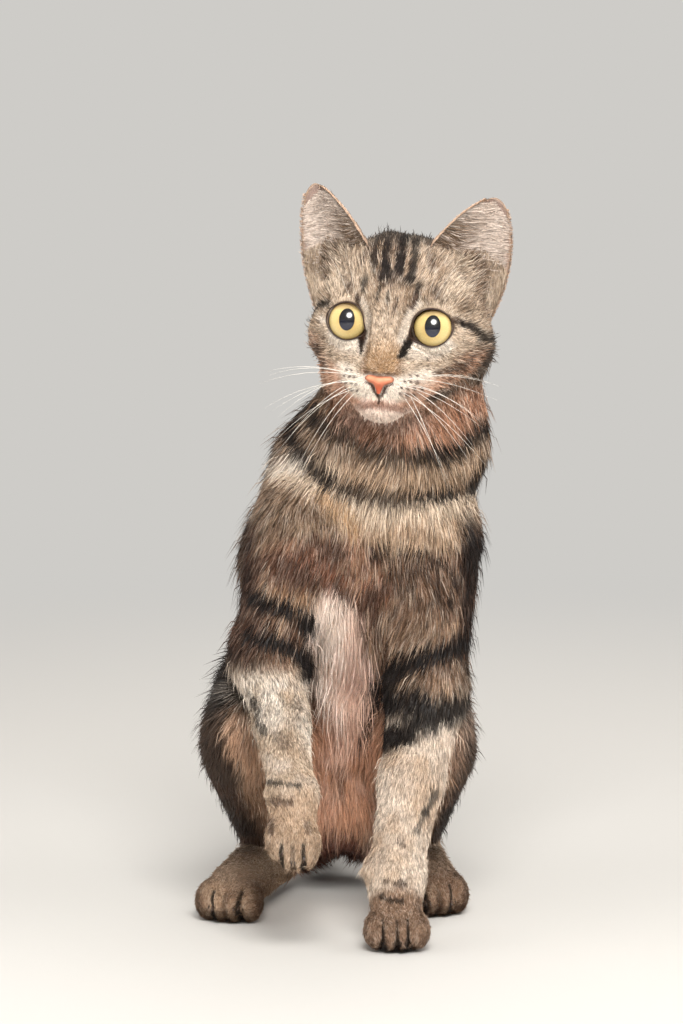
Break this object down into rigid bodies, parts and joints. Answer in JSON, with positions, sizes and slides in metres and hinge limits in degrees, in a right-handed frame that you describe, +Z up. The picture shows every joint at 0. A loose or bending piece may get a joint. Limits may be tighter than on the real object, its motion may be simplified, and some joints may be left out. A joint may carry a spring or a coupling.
{
  "type": "cat",
  "caption": "Still, life-size model of a young short-haired tabby cat sitting upright with its right forepaw lifted.",
  "frame": {"origin": "Middle of the bottom of the cat's box, on the floor", "axes": "+Z up; -Y the way the cat faces; +X the cat's own left"},
  "size_m": [0.1478, 0.3142, 0.347],
  "materials": {
    "face_coat": "short soft fur, ticked grey-brown and cream",
    "body_coat": "short soft fur, ticked brown with black tabby markings",
    "leg_coat": "short close fur, cream and grey-brown with dark bars",
    "ear": "thin pinkish skin with light hairs",
    "eye": "wet and clear, pale yellow iris",
    "nose": "moist, finely pebbled, salmon with a dark rim",
    "claw": "horn, smooth and slightly clear",
    "whisker": "stiff white hair"
  },
  "bodies": {
    "root": {"head": "face_coat", "neck": "body_coat", "chest": "body_coat", "abdomen": "body_coat", "rump": "body_coat", "upperarm_l": "body_coat", "upperarm_r": "body_coat", "forearm_l": "leg_coat", "forearm_r": "leg_coat", "forepaw_l": "leg_coat", "forepaw_r": "leg_coat", "thigh_l": "body_coat", "thigh_r": "body_coat", "shank_l": "leg_coat", "shank_r": "leg_coat", "hindfoot_l": "leg_coat", "hindfoot_r": "leg_coat", "tail_base": "body_coat", "tail_middle": "body_coat", "tail_tip": "body_coat", "ear_l": "ear", "ear_r": "ear", "eye_l": "eye", "eye_r": "eye", "nose": "nose"}
  },
  "joints": []
}
